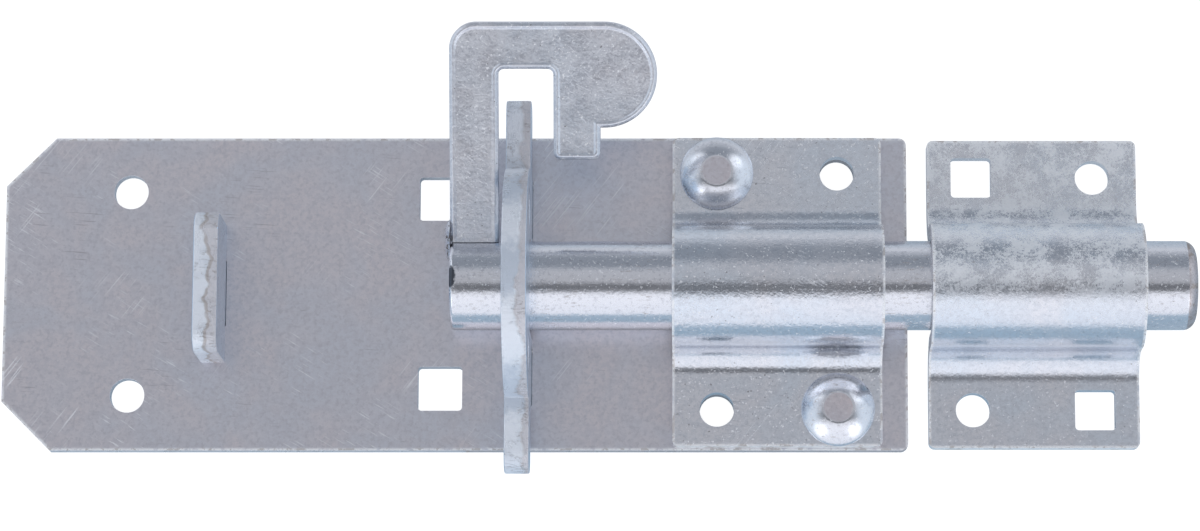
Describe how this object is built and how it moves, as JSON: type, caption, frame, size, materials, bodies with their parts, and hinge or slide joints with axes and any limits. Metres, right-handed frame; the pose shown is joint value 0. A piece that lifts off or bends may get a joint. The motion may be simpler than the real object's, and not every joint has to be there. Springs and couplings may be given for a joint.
{
  "type": "padbolt",
  "caption": "Padlockable round bolt for a gate or shed door: back plate, riveted guide, lock plate, rear stop, hooked swivel handle and a separate keeper strap.",
  "frame": {"origin": "centre of the back plate's mounting face", "axes": "+X along the bolt towards its tip, +Y up on a door, +Z out of the mounting face"},
  "size_m": [0.2416, 0.0896, 0.0361],
  "materials": {
    "plate_zinc": "bright zinc plate with fine diagonal scratches",
    "strap_zinc": "bright zinc plate, softly speckled",
    "rivet_zinc": "glossy zinc plate",
    "lug_zinc": "zinc plate over rough sheared edges",
    "bar_zinc": "bright zinc plate on drawn round bar",
    "handle_zinc": "bright zinc plate with softened edges",
    "weld_steel": "rippled weld metal under zinc plate"
  },
  "bodies": {
    "plate": {"back_plate": "plate_zinc", "guide_strap": "strap_zinc", "rivet_upper": "rivet_zinc", "rivet_lower": "rivet_zinc", "lock_plate": "lug_zinc", "rear_stop": "lug_zinc", "keeper": "strap_zinc"},
    "bolt": {"bolt_bar": "bar_zinc"},
    "handle": {"handle": "handle_zinc", "handle_weld": "weld_steel"}
  },
  "joints": [
    {"name": "bolt_slide", "type": "slide", "parent": "plate", "child": "bolt", "axis": [1, 0, 0], "range_m": [-0.0449, 0.001]},
    {"name": "handle_turn", "type": "hinge", "parent": "bolt", "child": "handle", "pos_m": [0, 0, 0.0125], "axis": [1, 0, 0], "range_deg": [-25, 175]}
  ]
}
